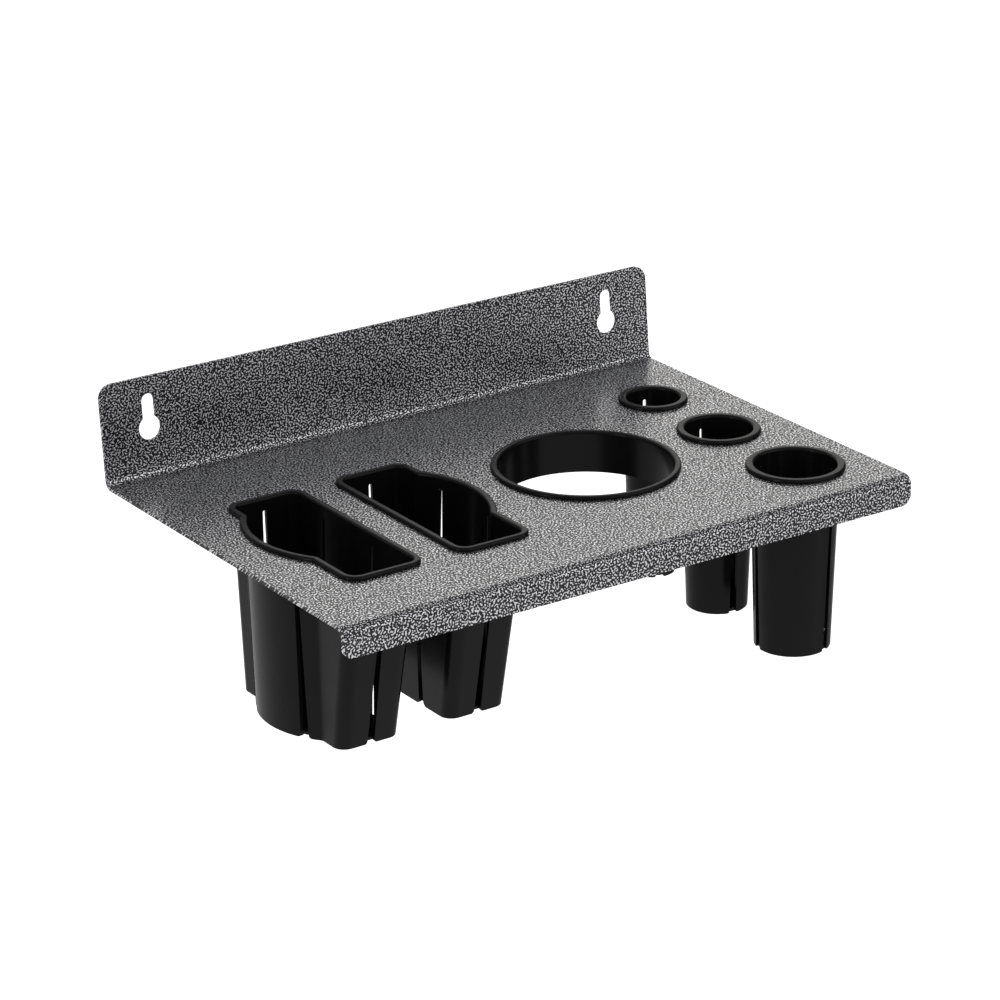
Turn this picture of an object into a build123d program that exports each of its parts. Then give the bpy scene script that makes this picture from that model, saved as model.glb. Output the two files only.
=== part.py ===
from build123d import *
import os
from math import cos, radians, sin, sqrt, tan

# A wall shelf for salon tools: one bent steel sheet with six moulded plastic liners dropped into it.
# All sizes are in millimetres. Every piece is drawn in the shelf's own frame first: the shelf's top
# face is z = 0, the wall is on the +Y side, the free front edge is on the -Y side, and X runs along
# the wall. place_on_wall then turns it so that the wall flange stands upright, with the origin on
# the wall face, midway between the round entries of the two keyholes.

# ---- steel sheet ----
SHEET = 1.5
SHELF_WIDTH = 305.0
SHELF_DEPTH = 203.0
FLANGE_HEIGHT = 47.0
LIP_HEIGHT = 14.0
FLANGE_LEAN = 5.0
BEND_INSIDE_RADIUS = 3.0
FLANGE_CORNER_RADIUS = 7.0
LIP_CORNER_RADIUS = 5.0

# ---- keyholes in the wall flange, with heights measured up the flange from the shelf's top ----
KEYHOLE_SPACING = 256.0
KEYHOLE_ENTRY_RADIUS = 5.75
KEYHOLE_ENTRY_HEIGHT = 22.7
KEYHOLE_SLOT_WIDTH = 6.6
KEYHOLE_SLOT_TOP = 38.8

# ---- what all the liners share ----
WALL = 1.6
HOLE_CLEARANCE = 0.3
RIM_HEIGHT = 1.8
RIM_OUTER_ROUND = 1.2
MOUTH_ROUND = 1.4
SLIT_TOP = -4.3
SLIT_TOP_WIDTH = 1.7
SLIT_BOTTOM_WIDTH = 3.6
FINGER_CORNER_RADIUS = 1.5
TIP_ROUND = 0.8
FLOOR = 1.6
FLOOR_RECESS = 1.0

# ---- clipper holsters: a pocket with one straight side and one side that bulges ----
HOLSTER_X = -104.0
HOLSTER_MIRROR_X = -75.8
HOLSTER_BACK_Y = -58.75
HOLSTER_FRONT_Y = -159.45
HOLSTER_HALF_WIDTH = 16.4
HOLSTER_CORNER_RADIUS = 4.4
HOLSTER_RIM_WIDTH = 3.6
HOLSTER_DEPTH = 87.0
HOLSTER_SIDE_DRAFT = 2.2
HOLSTER_FRONT_DRAFT = 16.4
BULGE_CENTER_Y = -102.0
BULGE_REACH = 26.3
BULGE_DRAFT = 1.6
BULGE_RADIUS = 49.7
BULGE_BOTTOM_RADIUS = 41.2
BULGE_BLEND_RADIUS = 5.0
HOLSTER_SLIT_MIDDLE_Y = -103.0
HOLSTER_SLIT_SPACING = 40.0

# ---- hair dryer ring ----
RING_X = 39.4
RING_Y = -106.4
RING_BORE_RADIUS = 40.5
RING_RIM_WIDTH = 3.5
RING_DEPTH = 18.5

# ---- tapered tubes for irons: name, centre's Y, bore radius at the mouth, turn of the first slit ----
TUBE_X = 117.2
TUBES = (
    ("small_iron_tube", -52.6, 12.7, 72.0),
    ("medium_iron_tube", -104.7, 15.9, 84.0),
    ("large_iron_tube", -162.7, 19.0, 109.0),
)
TUBE_RIM_WIDTH = 4.1
TUBE_DEPTH = 88.0
TUBE_DRAFT = 2.7
TUBE_SLIT_SPREAD = 60.0


def place_on_wall(piece):
    """Turn a piece from the shelf's frame into the wall's frame."""
    return Location((0, 0, -KEYHOLE_ENTRY_HEIGHT)) * Rot(X=FLANGE_LEAN) * piece


# ---- steel sheet ----

def sheet_profile():
    """The bent sheet's section in the YZ plane: wall flange, shelf and front lip."""
    lean = radians(FLANGE_LEAN)
    bend_outside_radius = BEND_INSIDE_RADIUS + SHEET
    flange_top = Vector(0, FLANGE_HEIGHT * sin(lean), FLANGE_HEIGHT * cos(lean))
    across_flange = Vector(0, -SHEET * cos(lean), SHEET * sin(lean))
    wall_side = [
        flange_top,
        Vector(0, -SHEET * tan(lean), -SHEET),
        Vector(0, SHEET - SHELF_DEPTH, -SHEET),
        Vector(0, SHEET - SHELF_DEPTH, -LIP_HEIGHT),
    ]
    room_side = [
        Vector(0, -SHELF_DEPTH, -LIP_HEIGHT),
        Vector(0, -SHELF_DEPTH, 0),
        Vector(0, -SHEET / cos(lean), 0),
        flange_top + across_flange,
    ]
    lower = FilletPolyline(*wall_side, radius=[bend_outside_radius, BEND_INSIDE_RADIUS])
    upper = FilletPolyline(*room_side, radius=[bend_outside_radius, BEND_INSIDE_RADIUS])
    lip_edge = Line(wall_side[-1], room_side[0])
    flange_edge = Line(room_side[-1], wall_side[0])
    return make_face(lower.edges() + lip_edge.edges() + upper.edges() + flange_edge.edges())


def round_corners(sheet, bottom, top, radius):
    """Round the sheet's free corners whose middles lie between two heights."""
    corners = [
        edge
        for edge in sheet.edges()
        if abs(edge.length - SHEET) < 0.01 and bottom < edge.center().Z < top
    ]
    return fillet(corners, radius)


def keyhole_cutter(x):
    """A keyhole through the flange: round entry below, narrow slot above."""
    slot_half = KEYHOLE_SLOT_WIDTH / 2
    slot_reach = KEYHOLE_SLOT_TOP - slot_half - KEYHOLE_ENTRY_HEIGHT
    entry = Circle(KEYHOLE_ENTRY_RADIUS)
    slot = Pos(0, slot_reach / 2) * Rectangle(KEYHOLE_SLOT_WIDTH, slot_reach)
    crown = Pos(0, slot_reach) * Circle(slot_half)
    across = Plane(origin=(x, 0, 0), x_dir=(1, 0, 0), z_dir=(0, -1, 0))
    outline = across * Pos(0, KEYHOLE_ENTRY_HEIGHT) * (entry + slot + crown)
    return Rot(X=-FLANGE_LEAN) * extrude(outline, amount=3 * SHEET, both=True)


def steel_shelf(hole_cutters):
    """The bent sheet with rounded corners, two keyholes and a hole for each liner."""
    shelf = Pos(-SHELF_WIDTH / 2, 0, 0) * extrude(sheet_profile(), amount=SHELF_WIDTH, dir=(1, 0, 0))
    shelf = round_corners(shelf, SHEET, FLANGE_HEIGHT + SHEET, FLANGE_CORNER_RADIUS)
    shelf = round_corners(shelf, -LIP_HEIGHT - SHEET, -LIP_HEIGHT + SHEET, LIP_CORNER_RADIUS)
    for side in (-1, 1):
        shelf -= keyhole_cutter(side * KEYHOLE_SPACING / 2)
    for cutter in hole_cutters:
        shelf -= cutter
    return shelf


# ---- slits and floors ----

def slit_cutter(depth, length):
    """A blade along Y that cuts a slit through a liner's walls: round at its top, wider below, and
    flared at the bottom so that the fingers on both sides of it end in round corners."""
    top_half = SLIT_TOP_WIDTH / 2
    bottom_half = SLIT_BOTTOM_WIDTH / 2
    corner = FINGER_CORNER_RADIUS
    corner_middle = corner * (1 - sqrt(0.5))
    flare_half = bottom_half + corner
    blade_bottom = -depth - 1.0
    crown = ThreePointArc(
        (-top_half, SLIT_TOP - top_half), (0, SLIT_TOP), (top_half, SLIT_TOP - top_half)
    )
    right_side = Line((top_half, SLIT_TOP - top_half), (bottom_half, corner - depth))
    right_flare = ThreePointArc(
        (bottom_half, corner - depth),
        (bottom_half + corner_middle, corner_middle - depth),
        (flare_half, -depth),
    )
    below = Polyline(
        (flare_half, -depth), (flare_half, blade_bottom), (-flare_half, blade_bottom), (-flare_half, -depth)
    )
    left_flare = mirror(right_flare, about=Plane.YZ)
    left_side = mirror(right_side, about=Plane.YZ)
    lines = (crown, right_side, right_flare, below, left_flare, left_side)
    edges = [edge for line in lines for edge in line.edges()]
    return extrude(Plane.XZ * make_face(edges), amount=length / 2, both=True)


def floor_slab(depth):
    """A wide slab that holds the floor of a liner of this depth, just above its finger tips."""
    upward = (Align.CENTER, Align.CENTER, Align.MIN)
    slab = Box(2 * SHELF_WIDTH, 3 * SHELF_DEPTH, FLOOR, align=upward)
    return Pos(0, 0, FLOOR_RECESS - depth) * slab


# ---- clipper holsters ----

def holster_outline(height, grow, side_draft=0.0, front_draft=0.0, bulge_draft=0.0, bulge=BULGE_RADIUS):
    """The holster's bore at a height, as a face: grown outward by grow, and drawn in by the drafts."""
    half_width = HOLSTER_HALF_WIDTH + grow - side_draft
    back = HOLSTER_BACK_Y + grow - side_draft
    front = HOLSTER_FRONT_Y - grow + front_draft
    straight_x = HOLSTER_X + half_width
    shoulder_x = HOLSTER_X - half_width
    apex_x = HOLSTER_X - BULGE_REACH - grow + bulge_draft
    bulge_radius = bulge + grow
    half_chord = sqrt(bulge_radius**2 - (bulge_radius - (shoulder_x - apex_x)) ** 2)
    bulge_back = BULGE_CENTER_Y + half_chord
    bulge_front = BULGE_CENTER_Y - half_chord
    sides = Polyline(
        (shoulder_x, bulge_front),
        (shoulder_x, front),
        (straight_x, front),
        (straight_x, back),
        (shoulder_x, back),
        (shoulder_x, bulge_back),
    )
    arc = ThreePointArc((shoulder_x, bulge_back), (apex_x, BULGE_CENTER_Y), (shoulder_x, bulge_front))
    outline = make_face(sides.edges() + arc.edges())
    corners = [point for point in outline.vertices() if point.Y > bulge_back + 1 or point.Y < bulge_front - 1]
    outline = fillet(corners, HOLSTER_CORNER_RADIUS + grow)
    joins = [
        point
        for point in outline.vertices()
        if abs(abs(point.Y - BULGE_CENTER_Y) - half_chord) < 0.01 and point.X < HOLSTER_X
    ]
    return Pos(0, 0, height) * fillet(joins, BULGE_BLEND_RADIUS - grow)


def holster_shape(grow):
    """The holster's tapered shape from the mouth to the finger tips."""
    mouth = holster_outline(0, grow)
    bottom = holster_outline(
        -HOLSTER_DEPTH, grow, HOLSTER_SIDE_DRAFT, HOLSTER_FRONT_DRAFT, BULGE_DRAFT, BULGE_BOTTOM_RADIUS
    )
    return loft([mouth, bottom], ruled=True)


def holster_rim():
    """The bead around the holster's mouth, which rests on the shelf."""
    rim = extrude(holster_outline(0, HOLSTER_RIM_WIDTH), RIM_HEIGHT)
    rim = fillet(rim.edges().group_by(Axis.Z)[-1], RIM_OUTER_ROUND)
    rim -= extrude(holster_outline(0, 0), RIM_HEIGHT)
    mouth_edges = rim.faces().sort_by(Axis.Z)[-1].inner_wires()[0].edges()
    return fillet(mouth_edges, MOUTH_ROUND)


def clipper_holster():
    """The left holster, whose bulge faces the shelf's left end. Six slits part its walls into six
    fingers, which the floor joins at the bottom."""
    inside = holster_shape(0)
    floor = inside & floor_slab(HOLSTER_DEPTH)
    hollow = inside - floor_slab(HOLSTER_DEPTH)
    holster = holster_shape(WALL) - hollow + holster_rim()
    length = HOLSTER_BACK_Y - HOLSTER_FRONT_Y
    middle_y = (HOLSTER_BACK_Y + HOLSTER_FRONT_Y) / 2
    blade = slit_cutter(HOLSTER_DEPTH, 2 * length)
    holster -= Pos(HOLSTER_X, middle_y, 0) * blade - floor
    for side in (-1, 1):
        slit_y = HOLSTER_SLIT_MIDDLE_Y + side * HOLSTER_SLIT_SPACING / 2
        holster -= Pos(HOLSTER_X, slit_y, 0) * Rot(Z=90) * blade - floor
    return holster


# ---- round liners ----

def round_liner(x, y, bore_radius, rim_width, depth, draft):
    """A liner turned about its own axis: the bead on top, then the tapered wall below the shelf."""
    rim_radius = bore_radius + rim_width
    outline = Polyline(
        (bore_radius, RIM_HEIGHT),
        (bore_radius, 0),
        (bore_radius - draft, -depth),
        (bore_radius - draft + WALL, -depth),
        (bore_radius + WALL, 0),
        (rim_radius, 0),
        (rim_radius, RIM_HEIGHT),
        close=True,
    )
    section = make_face(outline.edges())
    outer_corner = section.vertices().group_by(Axis.Y)[-1].sort_by(Axis.X)[-1]
    section = fillet(outer_corner, RIM_OUTER_ROUND)
    mouth_corner = section.vertices().group_by(Axis.Y)[-1].sort_by(Axis.X)[0]
    section = fillet(mouth_corner, MOUTH_ROUND)
    tip_corner = section.vertices().group_by(Axis.Y)[0].sort_by(Axis.X)[-1]
    section = fillet(tip_corner, TIP_ROUND)
    return Pos(x, y, 0) * revolve(Plane.XZ * section, Axis.Z)


def iron_tube(y, bore_radius, turn):
    """A long tapered tube. Two crossed slits part its wall into four fingers, which the floor joins."""
    tube = round_liner(TUBE_X, y, bore_radius, TUBE_RIM_WIDTH, TUBE_DEPTH, TUBE_DRAFT)
    blade = slit_cutter(TUBE_DEPTH, 4 * bore_radius)
    for angle in (turn, turn + TUBE_SLIT_SPREAD):
        tube -= Pos(TUBE_X, y, 0) * Rot(Z=angle - 90) * blade
    waist = bore_radius + WALL / 2
    filled = Cone(waist - TUBE_DRAFT, waist, TUBE_DEPTH, align=(Align.CENTER, Align.CENTER, Align.MAX))
    floor = Pos(TUBE_X, y, 0) * filled & floor_slab(TUBE_DEPTH)
    return tube + floor


# ---- holes in the shelf ----

def hole_cutter(outline):
    """A cutter that makes a hole of this outline through the shelf."""
    return extrude(outline, amount=2 * SHEET, both=True)


def round_hole(x, y, bore_radius):
    """The cutter for the hole that a round liner drops into."""
    return hole_cutter(Pos(x, y, 0) * Circle(bore_radius + WALL + HOLE_CLEARANCE))


def main():
    mirror_plane = Plane.YZ.offset(HOLSTER_MIRROR_X)
    left_holster = clipper_holster()
    holster_hole = hole_cutter(holster_outline(0, WALL + HOLE_CLEARANCE))
    pieces = {
        "left_clipper_holster": left_holster,
        "right_clipper_holster": mirror(left_holster, about=mirror_plane),
        "dryer_ring": round_liner(RING_X, RING_Y, RING_BORE_RADIUS, RING_RIM_WIDTH, RING_DEPTH, 0),
    }
    holes = [
        holster_hole,
        mirror(holster_hole, about=mirror_plane),
        round_hole(RING_X, RING_Y, RING_BORE_RADIUS),
    ]
    for name, y, bore_radius, turn in TUBES:
        pieces[name] = iron_tube(y, bore_radius, turn)
        holes.append(round_hole(TUBE_X, y, bore_radius))
    pieces["steel_shelf"] = steel_shelf(holes)

    os.makedirs("parts", exist_ok=True)
    for name, piece in pieces.items():
        placed = place_on_wall(piece)
        placed.label = name
        export_step(placed, f"parts/{name}.step")
        print(name, round(placed.volume), "mm3")


main()
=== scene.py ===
from math import cos, radians, sin
import bpy
from mathutils import Matrix, Vector


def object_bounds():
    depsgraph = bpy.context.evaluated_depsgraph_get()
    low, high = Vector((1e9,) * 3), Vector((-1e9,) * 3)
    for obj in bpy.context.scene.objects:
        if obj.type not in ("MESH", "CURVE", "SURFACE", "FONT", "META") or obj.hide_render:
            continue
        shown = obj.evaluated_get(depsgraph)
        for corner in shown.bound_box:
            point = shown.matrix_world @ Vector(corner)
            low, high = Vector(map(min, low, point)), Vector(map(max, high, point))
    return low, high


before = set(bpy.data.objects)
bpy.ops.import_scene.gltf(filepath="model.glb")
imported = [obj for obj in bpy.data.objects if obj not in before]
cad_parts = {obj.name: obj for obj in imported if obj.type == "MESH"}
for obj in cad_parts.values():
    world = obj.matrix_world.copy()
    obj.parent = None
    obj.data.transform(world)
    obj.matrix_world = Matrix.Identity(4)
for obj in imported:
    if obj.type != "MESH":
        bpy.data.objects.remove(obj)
cad_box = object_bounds()

# A wall shelf for salon tools: a bent steel sheet in a black and silver vein coating, with six
# satin black plastic liners. Lengths in the materials are in millimetres, all others in metres.
SHEET_NODE = "steel_shelf"
LINER_NODES = [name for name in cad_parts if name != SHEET_NODE]
SHELF_TILT = radians(5.0)

# ---- camera: a long lens from the left, a little above the shelf; angles in degrees ----
CAMERA_AZIMUTH = -33.02
CAMERA_ELEVATION = 17.24
CAMERA_ROLL = -3.52
CAMERA_DISTANCE = 1.761
CAMERA_TARGET = (0.0029, -0.0883, -0.0443)
CAMERA_CLIP_START = 0.05
CAMERA_CLIP_END = 200.0
# The lens in millimetres, as for a photographer.
SENSOR_WIDTH = 36.0
FOCAL_LENGTH = 138.2

# ---- surroundings: how bright they are at each height of the direction looked in, from -1
# straight down to 1 straight up, and how much of that is left at the far right ----
SKY_HEIGHTS = (-1.0, -0.45, -0.28, 0.0, 0.45, 1.0)
SKY_BRIGHTNESS = (1.1, 1.1, 0.75, 0.55, 0.5, 0.8)
SKY_RIGHT_START = 0.5
SKY_RIGHT_END = 0.95
SKY_RIGHT_SHARE = 0.35

# ---- floor ----
FLOOR_DROP = 0.30
FLOOR_SIZE = 60.0
FLOOR_CELLS = 8
FLOOR_CLOUD_PERIOD = 900.0
FLOOR_DARK = (0.93, 0.93, 0.93, 1.0)
FLOOR_LIGHT = (0.96, 0.96, 0.96, 1.0)
FLOOR_ROUGHNESS = 0.9
FLOOR_SPECULAR = 0.1
FLOOR_GLOW_COLOUR = (1.0, 1.0, 1.0, 1.0)
FLOOR_GLOW = 0.75

# ---- vein coating ----
VEIN_PERIOD = 1.5
VEIN_LEVEL = 0.56
VEIN_EDGE = 0.03
VEIN_SWIRL_PERIOD = 5.0
VEIN_SWIRL_REACH = 0.5
VEIN_BUMP_DEPTH = 0.03
VEIN_SPECULAR = 0.4
WAVES_PER_CELL = 1.1
COAT_BLACK = (0.005, 0.005, 0.007, 1.0)
COAT_SILVER = (0.85, 0.85, 0.88, 1.0)
COAT_BLACK_ROUGHNESS = 0.24
COAT_SILVER_ROUGHNESS = 0.32

# ---- black plastic ----
PLASTIC_CLOUD_PERIOD = 14.0
PLASTIC_DARK = (0.004, 0.004, 0.0045, 1.0)
PLASTIC_LIGHT = (0.007, 0.007, 0.0075, 1.0)
PLASTIC_LEAST_ROUGHNESS = 0.18
PLASTIC_MOST_ROUGHNESS = 0.28
PLASTIC_SPECULAR = 0.13
GRAIN_PERIOD = 0.35
GRAIN_DEPTH = 0.008


class Tree:
    """The node tree of a material or of the world, with short names for making and joining nodes."""

    def __init__(self, owner):
        owner.use_nodes = True
        self.tree = owner.node_tree
        self.tree.nodes.clear()
        if isinstance(owner, bpy.types.World):
            kinds = ("ShaderNodeBackground", "Background", "ShaderNodeOutputWorld")
        else:
            kinds = ("ShaderNodeBsdfPrincipled", "BSDF", "ShaderNodeOutputMaterial")
        shader_kind, shader_output, end_kind = kinds
        self.shader = self.node(shader_kind)
        self.join(self.shader, shader_output, self.node(end_kind), "Surface")

    def node(self, kind, **settings):
        """A new node of that kind, with its settings made."""
        made = self.tree.nodes.new(kind)
        for name, value in settings.items():
            setattr(made, name, value)
        return made

    def join(self, source, output, target, socket):
        """Link one node's output to another's socket, both by name."""
        self.tree.links.new(source.outputs[output], target.inputs[socket])

    def product(self, first, second):
        """Two nodes' outputs multiplied."""
        made = self.node("ShaderNodeMath", operation="MULTIPLY")
        self.tree.links.new(first, made.inputs[0])
        self.tree.links.new(second, made.inputs[1])
        return made.outputs[0]

    def vector_math(self, operation, *values):
        """A Vector Math node. Each value is a vector, a number for Scale, or another node's output."""
        made = self.node("ShaderNodeVectorMath", operation=operation)
        for index, value in enumerate(values):
            if operation == "SCALE" and index == 1:
                made.inputs["Scale"].default_value = value
            elif isinstance(value, tuple):
                made.inputs[index].default_value = value
            else:
                self.tree.links.new(value, made.inputs[index])
        return made.outputs[0]

    def position_mm(self):
        """The place on the object in millimetres, which moves with the piece."""
        place = self.node("ShaderNodeTexCoord")
        return self.vector_math("SCALE", place.outputs["Object"], 1000.0)

    def noise(self, place, period, detail, colour=False):
        """Noise whose features are about period millimetres apart."""
        made = self.node("ShaderNodeTexNoise")
        made.inputs["Scale"].default_value = 1.0 / period
        made.inputs["Detail"].default_value = detail
        self.tree.links.new(place, made.inputs["Vector"])
        return made.outputs["Color" if colour else "Fac"]

    def unrolled(self, place):
        """The place on the bent sheet nearly as if it lay flat: along the wall, and along the section.
        The second is true on the shelf and the lip, and a twelfth too long on the flange."""
        rate = (0.0, cos(SHELF_TILT) - sin(SHELF_TILT), cos(SHELF_TILT) + sin(SHELF_TILT))
        along = self.node("ShaderNodeVectorMath", operation="DOT_PRODUCT")
        along.inputs[1].default_value = rate
        self.tree.links.new(place, along.inputs[0])
        parts = self.node("ShaderNodeSeparateXYZ")
        self.tree.links.new(place, parts.inputs[0])
        flat = self.node("ShaderNodeCombineXYZ")
        self.join(parts, "X", flat, "X")
        self.join(along, "Value", flat, "Y")
        return flat.outputs[0]

    def worms(self, place, period):
        """Worm-like waves, period millimetres apart, that run in every direction."""
        made = self.node("ShaderNodeTexGabor", gabor_type="2D")
        made.inputs["Scale"].default_value = 1.0 / (WAVES_PER_CELL * period)
        made.inputs["Frequency"].default_value = WAVES_PER_CELL
        made.inputs["Anisotropy"].default_value = 0.0
        self.tree.links.new(place, made.inputs["Vector"])
        return made.outputs["Value"]

    def warp(self, place, period, reach):
        """The place moved about by up to reach millimetres, in swirls of that period."""
        swirl = self.noise(place, period, detail=1.0, colour=True)
        centred = self.vector_math("SUBTRACT", swirl, (0.5, 0.5, 0.5))
        return self.vector_math("ADD", place, self.vector_math("SCALE", centred, 2.0 * reach))

    def ramp(self, value, low, high):
        """0 up to low, 1 from high, with a soft step between them."""
        made = self.node("ShaderNodeMapRange", interpolation_type="SMOOTHSTEP")
        made.inputs["From Min"].default_value = low
        made.inputs["From Max"].default_value = high
        self.tree.links.new(value, made.inputs["Value"])
        return made.outputs["Result"]

    def blend(self, amount, low, high):
        """A colour or a number that goes from low to high with amount."""
        kind = "FLOAT" if isinstance(low, float) else "RGBA"
        made = self.node("ShaderNodeMix", data_type=kind)
        low_socket, high_socket, result = {"FLOAT": (2, 3, 0), "RGBA": (6, 7, 2)}[kind]
        made.inputs[low_socket].default_value = low
        made.inputs[high_socket].default_value = high
        self.tree.links.new(amount, made.inputs[0])
        return made.outputs[result]

    def steps(self, value, places, levels):
        """A number that runs smoothly through these levels as value passes these places. The
        places run upwards and lie between -1 and 1."""
        made = self.node("ShaderNodeFloatCurve")
        curve = made.mapping.curves[0]
        made.mapping.clip_min_x = -1.0
        made.mapping.use_clip = False
        curve.points[0].location = (places[0], levels[0])
        curve.points[1].location = (places[-1], levels[-1])
        for place, level in zip(places[1:-1], levels[1:-1]):
            curve.points.new(place, level)
        made.mapping.update()
        self.tree.links.new(value, made.inputs["Value"])
        return made.outputs[0]

    def bump(self, height, depth):
        """Relief of that depth in millimetres."""
        made = self.node("ShaderNodeBump")
        made.inputs["Strength"].default_value = 1.0
        made.inputs["Distance"].default_value = depth / 1000.0
        self.tree.links.new(height, made.inputs["Height"])
        self.join(made, "Normal", self.shader, "Normal")

    def drive(self, socket, value):
        """Link a node's output to the shader's own socket."""
        self.tree.links.new(value, self.shader.inputs[socket])

    def fix(self, socket, value):
        """Set the shader's own socket to one value all over."""
        self.shader.inputs[socket].default_value = value


def vein_coating():
    """Silver vein powder coat: a fine broken net of silver on glossy black."""
    material = bpy.data.materials.new("silver_vein_coating")
    tree = Tree(material)
    flat = tree.unrolled(tree.position_mm())
    swirled = tree.warp(flat, VEIN_SWIRL_PERIOD, VEIN_SWIRL_REACH)
    height = tree.worms(swirled, VEIN_PERIOD)
    vein = tree.ramp(height, VEIN_LEVEL - VEIN_EDGE, VEIN_LEVEL + VEIN_EDGE)
    tree.drive("Base Color", tree.blend(vein, COAT_BLACK, COAT_SILVER))
    tree.drive("Metallic", vein)
    tree.drive("Roughness", tree.blend(vein, COAT_BLACK_ROUGHNESS, COAT_SILVER_ROUGHNESS))
    tree.bump(vein, VEIN_BUMP_DEPTH)
    tree.fix("Specular IOR Level", VEIN_SPECULAR)
    return material


def black_plastic():
    """Satin black moulded plastic with a faint grain and slight changes in its gloss."""
    material = bpy.data.materials.new("black_plastic")
    tree = Tree(material)
    place = tree.position_mm()
    cloud = tree.noise(place, PLASTIC_CLOUD_PERIOD, detail=3.0)
    grain = tree.noise(place, GRAIN_PERIOD, detail=2.0)
    tree.drive("Base Color", tree.blend(cloud, PLASTIC_DARK, PLASTIC_LIGHT))
    tree.drive("Roughness", tree.blend(cloud, PLASTIC_LEAST_ROUGHNESS, PLASTIC_MOST_ROUGHNESS))
    tree.bump(grain, GRAIN_DEPTH)
    tree.fix("Specular IOR Level", PLASTIC_SPECULAR)
    return material


def pale_floor():
    """Matt white with faint clouds, and a glow of its own that keeps it pale in every view."""
    material = bpy.data.materials.new("pale_floor")
    tree = Tree(material)
    cloud = tree.noise(tree.position_mm(), FLOOR_CLOUD_PERIOD, detail=2.0)
    tree.drive("Base Color", tree.blend(cloud, FLOOR_DARK, FLOOR_LIGHT))
    tree.fix("Roughness", FLOOR_ROUGHNESS)
    tree.fix("Specular IOR Level", FLOOR_SPECULAR)
    tree.fix("Emission Color", FLOOR_GLOW_COLOUR)
    tree.fix("Emission Strength", FLOOR_GLOW)
    return material


def paint(node, material):
    """Give a CAD node one material."""
    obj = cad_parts[node]
    for slot in obj.material_slots:
        slot.material = material
    if not obj.material_slots:
        obj.data.materials.append(material)


def make_camera():
    """The camera, placed by its angles and its distance from the target. Azimuth 0 is the front,
    a negative one is to the left of it, and a negative roll turns the camera clockwise."""
    azimuth, elevation, roll = (radians(a) for a in (CAMERA_AZIMUTH, CAMERA_ELEVATION, CAMERA_ROLL))
    back = Vector((sin(azimuth) * cos(elevation), -cos(azimuth) * cos(elevation), sin(elevation)))
    level = Vector((cos(azimuth), sin(azimuth), 0.0))
    upright = back.cross(level)
    right = cos(roll) * level + sin(roll) * upright
    up = back.cross(right)
    data = bpy.data.cameras.new("camera")
    data.sensor_width = SENSOR_WIDTH
    data.lens = FOCAL_LENGTH
    data.clip_start = CAMERA_CLIP_START
    data.clip_end = CAMERA_CLIP_END
    camera = bpy.data.objects.new("camera", data)
    turn = Matrix((right, up, back)).transposed().to_4x4()
    camera.matrix_world = Matrix.Translation(Vector(CAMERA_TARGET) + back * CAMERA_DISTANCE) @ turn
    bpy.context.scene.collection.objects.link(camera)
    bpy.context.scene.camera = camera


def soft_light(name, place, aim, size, power, colour):
    """A rectangular soft box that the camera doesn't see. Power is in watts."""
    data = bpy.data.lights.new(name, "AREA")
    data.shape = "RECTANGLE"
    data.size, data.size_y = size
    data.energy = power
    data.color = colour
    light = bpy.data.objects.new(name, data)
    light.location = place
    light.visible_camera = False
    light.rotation_mode = "QUATERNION"
    light.rotation_quaternion = (Vector(aim) - Vector(place)).to_track_quat("-Z", "Y")
    bpy.context.scene.collection.objects.link(light)


def make_surroundings():
    """A plain pale room: brightest low down, dimmer higher up and towards the right."""
    world = bpy.data.worlds.new("studio")
    tree = Tree(world)
    direction = tree.node("ShaderNodeSeparateXYZ")
    tree.join(tree.node("ShaderNodeTexCoord"), "Generated", direction, "Vector")
    level = tree.steps(direction.outputs["Z"], SKY_HEIGHTS, SKY_BRIGHTNESS)
    side = tree.ramp(direction.outputs["X"], SKY_RIGHT_START, SKY_RIGHT_END)
    share = tree.blend(side, 1.0, SKY_RIGHT_SHARE)
    tree.drive("Strength", tree.product(level, share))
    bpy.context.scene.world = world


def make_floor():
    """A wide pale floor below the object. It neither shows in the gloss nor lights anything."""
    bpy.ops.mesh.primitive_grid_add(
        x_subdivisions=FLOOR_CELLS,
        y_subdivisions=FLOOR_CELLS,
        size=FLOOR_SIZE,
    )
    floor = bpy.context.object
    floor.name = "floor"
    floor.location = (0.0, 0.0, cad_box[0].z - FLOOR_DROP)
    floor.data.materials.append(pale_floor())
    floor.visible_diffuse = False
    floor.visible_glossy = False


def make_lights():
    """Three soft boxes: a warm one behind on the right, a small one on the left, and a cool one in
    front on the right."""
    soft_light(
        "back_panel",
        place=(1.4, 2.2, 1.5),
        aim=(0.05, -0.1, -0.05),
        size=(3.0, 2.0),
        power=14.0,
        colour=(1.0, 0.98, 0.94),
    )
    soft_light(
        "left_panel",
        place=(-2.3, -0.5, 0.5),
        aim=(0.0, -0.1, -0.05),
        size=(0.5, 1.6),
        power=6.0,
        colour=(1.0, 1.0, 1.0),
    )
    soft_light(
        "front_panel",
        place=(1.3, -2.2, 0.9),
        aim=(0.05, -0.1, -0.05),
        size=(3.4, 2.0),
        power=15.0,
        colour=(0.96, 0.97, 1.0),
    )


bpy.context.scene.view_settings.view_transform = "Standard"
paint(SHEET_NODE, vein_coating())
plastic = black_plastic()
for liner in LINER_NODES:
    paint(liner, plastic)
make_camera()
make_surroundings()
make_floor()
make_lights()
